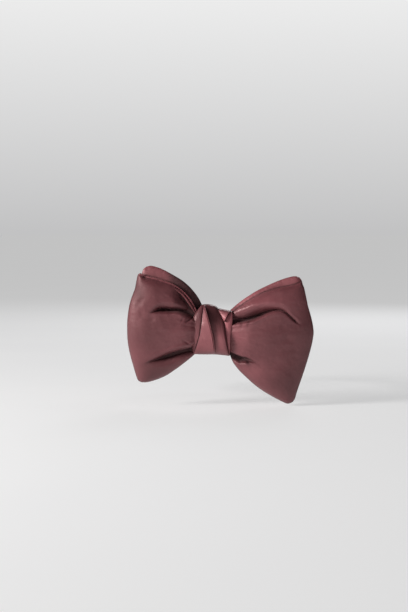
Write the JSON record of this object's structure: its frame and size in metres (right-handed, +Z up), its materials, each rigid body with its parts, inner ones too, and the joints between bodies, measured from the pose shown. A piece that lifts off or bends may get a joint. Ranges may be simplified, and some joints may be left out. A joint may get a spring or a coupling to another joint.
{
  "type": "bow tie",
  "caption": "Padded satin bow tie, pre-tied with a pleated knot, on an adjustable neckband with a sliding buckle and a hook and eye.",
  "frame": {"origin": "centre of the knot's flat back face, which rests on the shirt collar", "axes": "+Z up, -Y out of the front of the bow, +Y into the collar, +X to the viewer's right"},
  "size_m": [0.1324, 0.1398, 0.0964],
  "materials": {
    "satin": "dusty burgundy satin, soft sheen",
    "interlining": "unbleached canvas",
    "wadding": "soft polyester wadding",
    "thread": "matching sewing thread",
    "label": "blank woven tape",
    "hardware": "nickel-plated steel"
  },
  "bodies": {
    "bow_and_band": {"front_bow_face_panel": "satin", "front_bow_rear_panel": "satin", "back_bow_face_panel": "satin", "back_bow_rear_panel": "satin", "knot_wrap": "satin", "neckband_cover": "satin", "neckband_return_run": "satin", "front_bow_interlining": "interlining", "back_bow_interlining": "interlining", "neckband_interlining": "interlining", "front_bow_wadding_left": "wadding", "front_bow_wadding_right": "wadding", "knot_pad": "wadding", "waist_binding_thread": "thread", "knot_seam_stitches": "thread", "neckband_tack_stitches": "thread", "eye_fold_stitches": "thread", "label_stitches": "thread", "label_tab": "label"},
    "slider": {"slider_buckle": "hardware", "neckband_sewn_end": "satin", "sewn_end_stitches": "thread"},
    "hook": {"hook": "hardware"},
    "eye_ring": {"eye_ring": "hardware"}
  },
  "joints": [
    {"name": "slider_travel", "type": "hinge", "parent": "bow_and_band", "child": "slider", "pos_m": [0, 0.0575, -0.003], "axis": [0, 0, 1], "range_deg": [0, 36]},
    {"name": "hook_pivot", "type": "hinge", "parent": "bow_and_band", "child": "hook", "pos_m": [0.06189, 0.04896, -0.003], "axis": [0, 0, 1], "range_deg": [0, 95]},
    {"name": "eye_pivot", "type": "hinge", "parent": "bow_and_band", "child": "eye_ring", "pos_m": [0.05411, 0.02626, -0.003], "axis": [0, 0, 1], "range_deg": [0, 60]}
  ]
}
